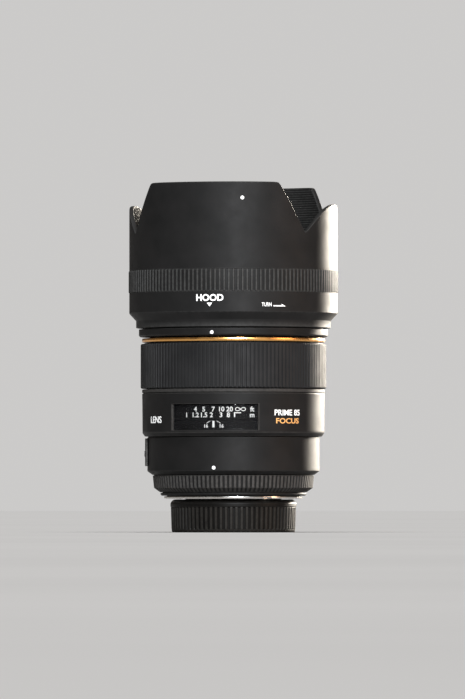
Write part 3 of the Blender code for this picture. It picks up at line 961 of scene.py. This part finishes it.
def make_hood():
    """The petal hood: a ribbed band below, a rim that follows rim_height, and saw-tooth grooves inside."""
    band, low, top = size_of("lens_hood")
    radius = band - 0.3
    inner = radius - 1.9
    edge = 0.28
    lower = hood_outline(radius, band, low)
    rounding = [(radius, 2 * edge), (radius, edge), (radius - 0.09, 0.09), (radius - edge, 0.0)]
    rounding += [(inner + edge, 0.0), (inner + 0.09, 0.09)]
    columns = rib_columns(HOOD_RIBS, 0.3, 0.1)
    inside = hood_grooves(low + 9.5, top, inner, 1.07, 0.22)
    bm = bmesh.new()
    outer_rows = []
    inner_rows = []
    for angle, depth in columns:
        rim = rim_height(angle, top)
        outer = []
        for point in lower:
            cut = point[2] * depth if len(point) > 2 else 0.0
            outer.append(bm.verts.new(around(point[0] - cut, angle, point[1])))
        for distance, drop in rounding:
            outer.append(bm.verts.new(around(distance, angle, rim - drop)))
        outer_rows.append(outer)
        row = [(-1, outer[0])]
        last = rim - edge
        for level, distance, height in inside:
            if height < last - 0.05:
                row.append((level, bm.verts.new(around(distance, angle, height))))
        row.append((RIM_LEVEL, bm.verts.new(around(inner, angle, last))))
        inner_rows.append(row)
    count = len(columns)
    for index in range(count):
        after = (index + 1) % count
        near = outer_rows[index]
        far = outer_rows[after]
        for step in range(len(near) - 1):
            bm.faces.new((near[step], far[step], far[step + 1], near[step + 1]))
        near_top = inner_rows[index][-1][1]
        far_top = inner_rows[after][-1][1]
        bm.faces.new((near[-1], far[-1], far_top, near_top))
        zip_columns(bm, inner_rows[index], inner_rows[after])
    tab = block_outline(41.6, 43.2, low + 1.3, low + 2.9)
    for angle in TAB_ANGLES:
        arc_solid(tab, angle, TAB_HALF, 20, bm)
    add_piece("hood_shell", bm, MATERIAL["hood_plastic"], "lens_hood", sharp=28)
    make_hood_marks(radius, low, top)


def make_hood_marks(radius, low, top):
    """The index dot near the rim, and the word, triangle and turning arrow under the band."""
    body = BODY_OF["lens_hood"]
    add_dot("hood_dot", radius, 18.0, top - 7.3, body)
    add_text("hood_word", "HOOD", 3.0, (radius, 0.0, low + 11.5), body, bold=0.12)
    add_triangle("hood_triangle", radius, 0.0, low + 10.6, body)
    add_text("hood_turn_word", "TURN", 1.8, (radius, 31.6, low + 9.0), body, bold=0.03, squeeze=0.72)
    add_arrow("hood_arrow", radius, 35.5, 43.0, low + 9.0, body)


# ------------------------------------------------------------------- marks


def wrap(bm, radius, angle, height):
    """Bends flat artwork, drawn in the XZ plane with depth along Y, on to the cylinder of this radius."""
    for vert in bm.verts:
        flat = vert.co.copy()
        vert.co = around(radius + flat.y, angle + math.degrees(flat.x / radius), height + flat.z)


def add_outline_mark(name, loop, radius, angle, height, body):
    """A thin raised white mark from a closed outline of (x, z) points."""
    bm = bmesh.new()
    back = [bm.verts.new((x, -SUNK, z)) for x, z in loop]
    front = [bm.verts.new((x, RAISED, z)) for x, z in loop]
    bm.faces.new(back)
    bm.faces.new(front)
    skin_rings(bm, [back, front], closed=False)
    wrap(bm, radius, angle, height)
    add_piece(name, bm, MATERIAL["mark_white"], body=body)


def add_bar(name, radius, low, high, angle, half, steps, body):
    """A straight-sided white mark on the cylinder of this radius."""
    bm = arc_solid(block_outline(radius - SUNK, radius + RAISED, low, high), angle, half, steps)
    add_piece(name, bm, MATERIAL["mark_white"], body=body)


def add_dot(name, radius, angle, height, body, size=0.82):
    """A round white index dot."""
    loop = []
    for step in range(32):
        turn = 2 * math.pi * step / 32
        loop.append((size * math.cos(turn), size * math.sin(turn)))
    add_outline_mark(name, loop, radius, angle, height, body)


def add_triangle(name, radius, angle, top, body):
    """A white triangle that points down at the index."""
    half = 1.25
    loop = [(-half, 0.0), (half, 0.0), (0.0, -1.7)]
    add_outline_mark(name, loop, radius, angle, top, body)


def add_arrow(name, radius, first, last, height, body):
    """A thin bar with half an arrow head, which says which way the hood turns off."""
    length = math.radians(last - first) * radius
    shaft = length - 2.2
    thick = 0.5
    steps = 8
    loop = [(length * step / steps, 0.0) for step in range(steps + 1)]
    loop += [(shaft, 1.15), (shaft, thick)]
    loop += [(shaft * (1 - step / steps), thick) for step in range(1, steps + 1)]
    add_outline_mark(name, loop, radius, first, height, body)


def eight_point(turn):
    """The point of a lying eight at this turn, in radians."""
    reach = 2.3
    spread = 1 + math.sin(turn) ** 2
    return Vector((reach * math.cos(turn) / spread, 0.9 * reach * math.sin(turn) * math.cos(turn) / spread))


def add_infinity(name, radius, angle, height, body):
    """The infinity sign, a ribbon along a lying eight, one strand slightly over the other."""
    width = 0.17
    steps = 56
    bm = bmesh.new()
    rows = []
    for step in range(steps):
        turn = 2 * math.pi * step / steps
        ahead = 2 * math.pi * (step + 0.01) / steps
        point = eight_point(turn)
        along = eight_point(ahead) - point
        side = Vector((-along.y, along.x)).normalized() * width
        lift = RAISED + 0.01 * math.sin(turn)
        row = []
        for sign, depth in ((-1, -SUNK), (1, -SUNK), (1, lift), (-1, lift)):
            row.append(bm.verts.new((point.x + sign * side.x, depth, point.y + sign * side.y)))
        rows.append(row)
    skin_rings(bm, rows, closed=True)
    wrap(bm, radius, angle, height)
    add_piece(name, bm, MATERIAL["mark_white"], body=body)


def add_text(name, text, height, place, body, bold, squeeze=1.0, material="mark_white"):
    """Raised lettering of this cap height, at a (radius, middle angle, foot) place and wrapped round it."""
    cap_share = 0.73
    lift = 0.02
    curve = bpy.data.curves.new(name, "FONT")
    curve.body = text
    curve.align_x = "CENTER"
    curve.size = height / cap_share
    curve.extrude = 0.035
    curve.offset = bold
    curve.resolution_u = 4
    flat = bpy.data.objects.new(name, curve)
    bpy.context.scene.collection.objects.link(flat)
    bpy.context.view_layer.update()
    mesh = bpy.data.meshes.new_from_object(flat)
    bpy.data.objects.remove(flat)
    bm = bmesh.new()
    bm.from_mesh(mesh)
    bpy.data.meshes.remove(mesh)
    bmesh.ops.remove_doubles(bm, verts=bm.verts, dist=0.0001)
    for vert in bm.verts:
        vert.co = Vector((vert.co.x * squeeze, vert.co.z + lift, vert.co.y))
    wrap(bm, *place)
    add_piece(name, bm, MATERIAL[material], body=body)


def make_barrel_words():
    """Generic words on each side of the window."""
    body = BODY_OF["main_barrel"]
    radius = size_of("main_barrel")[0] - 0.12
    right = 49.5
    add_text("left_word", "LENS", 3.1, (radius, -45.0, 49.7), body, bold=0.06)
    add_text("right_word", "PRIME 85", 2.7, (radius, right, 53.0), body, bold=0.045)
    place = (radius, right, 49.4)
    add_text("right_accent_word", "FOCUS", 2.4, place, body, bold=0.06, squeeze=1.25, material="mark_orange")


# ------------------------------------------------------------------- glass


def make_elements():
    """Each CAD element's turned section, made again with a fine round edge."""
    for name in frame["nodes"]:
        if name.startswith("element_") and name != "element_retainer":
            make_element(name)


def section_of(name):
    """(radius, front height, back height) at each ring of the CAD element's points, from the axis out."""
    levels = {}
    for vert in frame["nodes"][name].data.vertices:
        reach = round(math.hypot(vert.co.x, vert.co.y) / MM, 1)
        levels.setdefault(reach, []).append(vert.co.z / MM)
    reaches = sorted(levels)
    return [(reach, max(levels[reach]), min(levels[reach])) for reach in reaches]


def face_height(rows, column, share):
    """The height of a face at a share of the half width: the sphere through its middle and its edge."""
    half = rows[-1][0]
    middle = rows[0][column]
    drop = middle - rows[-1][column]
    if abs(drop) < 0.001:
        return middle
    radius = (half * half + drop * drop) / (2 * drop)
    reach = half * share
    fall = abs(radius) - math.sqrt(radius * radius - reach * reach)
    return middle - math.copysign(fall, radius)


def make_element(name):
    """One glass element, with spherical faces and a small chamfer round its edge."""
    rows = section_of(name)
    half = rows[-1][0]
    steps = 14
    front = [(half * step / steps, face_height(rows, 1, step / steps)) for step in range(steps)]
    edge = 0.25
    front_edge = face_height(rows, 1, 1.0)
    back_edge = face_height(rows, 2, 1.0)
    rim = [(half - edge, front_edge), (half, front_edge - edge)]
    rim += [(half, back_edge + edge), (half - edge, back_edge)]
    back = [(half * step / steps, face_height(rows, 2, step / steps)) for step in reversed(range(steps))]
    bm = lathe(front[:-1] + rim + back[1:], even_columns(96))
    add_piece(name + "_glass", bm, MATERIAL["optical_glass"], name, sharp=50)


# --------------------------------------------------------- stage, in metres


def make_stage():
    """A plain pale floor."""
    mesh = bpy.data.meshes.new("floor")
    size = 30.0
    corners = [(-size, -size, 0), (size, -size, 0), (size, size, 0), (-size, size, 0)]
    mesh.from_pydata(corners, [], [(0, 1, 2, 3)])
    floor = bpy.data.objects.new("floor", mesh)
    bpy.context.scene.collection.objects.link(floor)
    material, nodes, links, shader = new_material("floor")
    links.new(ramp(nodes, links, noise(nodes, links, 3, 3), 0.74, 0.78), shader.inputs["Base Color"])
    shader.inputs["Roughness"].default_value = 0.9
    shader.inputs["Specular IOR Level"].default_value = 0.1
    mesh.materials.append(material)


def add_light(not_the_floor, name, azimuth, distance, height, width, tall, power, colour):
    """A soft box that faces the middle of the lens and leaves the floor to the top light."""
    middle = Vector((0, 0, 0.08))
    lamp = bpy.data.lights.new(name, "AREA")
    lamp.shape = "RECTANGLE"
    lamp.size = width
    lamp.size_y = tall
    lamp.spread = math.radians(60.0)
    lamp.energy = power
    lamp.color = colour
    obj = bpy.data.objects.new(name, lamp)
    obj.location = around(distance, azimuth, height)
    aim = middle - obj.location
    obj.rotation_euler = aim.to_track_quat("-Z", "Y").to_euler()
    obj.light_linking.receiver_collection = not_the_floor
    bpy.context.scene.collection.objects.link(obj)


def make_world():
    """A pale backdrop for the camera, and a dim warm surround that lights the lens."""
    world = bpy.data.worlds.new("studio")
    world.use_nodes = True
    nodes = world.node_tree.nodes
    links = world.node_tree.links
    nodes["Background"].inputs["Color"].default_value = (0.80, 0.70, 0.60, 1)
    nodes["Background"].inputs["Strength"].default_value = 0.12
    backdrop = nodes.new("ShaderNodeBackground")
    backdrop.inputs["Color"].default_value = (0.80, 0.79, 0.78, 1)
    backdrop.inputs["Strength"].default_value = 0.75
    path = nodes.new("ShaderNodeLightPath")
    mix = nodes.new("ShaderNodeMixShader")
    links.new(path.outputs["Is Camera Ray"], mix.inputs["Fac"])
    links.new(nodes["Background"].outputs["Background"], mix.inputs[1])
    links.new(backdrop.outputs["Background"], mix.inputs[2])
    links.new(mix.outputs["Shader"], nodes["World Output"].inputs["Surface"])
    bpy.context.scene.world = world
    bpy.context.scene.view_settings.view_transform = "Standard"


def make_light():
    """A cool box in front, a warm one behind for the bright right edge, a weak fill and a top light."""
    not_the_floor = bpy.data.collections.new("not_the_floor")
    not_the_floor.objects.link(bpy.data.objects["floor"])
    not_the_floor.collection_objects[0].light_linking.link_state = "EXCLUDE"
    # name, azimuth, distance, height, width, tall, power, colour
    boxes = (
        ("front_box", 19.0, 1.3, 0.50, 0.32, 0.35, 3.4, (0.94, 0.97, 1.0)),
        ("rim_box", 158.0, 1.1, 0.30, 0.22, 0.3, 7.0, (1.0, 0.91, 0.78)),
        ("right_fill", 80.0, 1.3, 0.30, 0.5, 0.5, 0.6, (1.0, 0.62, 0.4)),
    )
    for box in boxes:
        add_light(not_the_floor, *box)
    add_sun()


def add_sun():
    """Soft light from almost straight above, even over the whole floor."""
    lamp = bpy.data.lights.new("top_light", "SUN")
    lamp.energy = 2.2
    lamp.angle = math.radians(50.0)
    obj = bpy.data.objects.new("top_light", lamp)
    obj.location = (0, 0, 2)
    obj.rotation_euler = (math.radians(14.0), 0, math.radians(13.0))
    bpy.context.scene.collection.objects.link(obj)


def make_camera():
    """Just above the table, level with it, and far enough away for parallel sides."""
    view_azimuth = 13.1
    eye_height = 0.011
    distance = 3.9
    frame_height = 0.3189
    frame_middle = 0.0834
    side = 0.0004
    camera = bpy.data.cameras.new("camera")
    camera.sensor_width = 36.0
    camera.lens = camera.sensor_width * distance / frame_height
    camera.clip_end = 100.0
    camera.dof.use_dof = False
    obj = bpy.data.objects.new("camera", camera)
    obj.location = around(distance, view_azimuth, eye_height)
    sideways = around(side, view_azimuth + 90.0, 0.0)
    aim = Vector((0, 0, frame_middle)) - sideways - obj.location
    obj.rotation_euler = aim.to_track_quat("-Z", "Y").to_euler()
    bpy.context.scene.collection.objects.link(obj)
    bpy.context.scene.camera = obj


def main():
    """The studio first, then the pieces from the foot of the lens up."""
    make_camera()
    make_stage()
    make_world()
    make_light()
    dress_carried_nodes()
    make_rear_cap()
    make_mount_plate()
    make_seat_ring()
    make_rear_grip()
    make_lower_barrel()
    make_switch()
    make_main_barrel()
    make_drum()
    make_front_rings()
    make_focus_ring()
    make_hood()
    make_barrel_words()
    make_elements()


main()
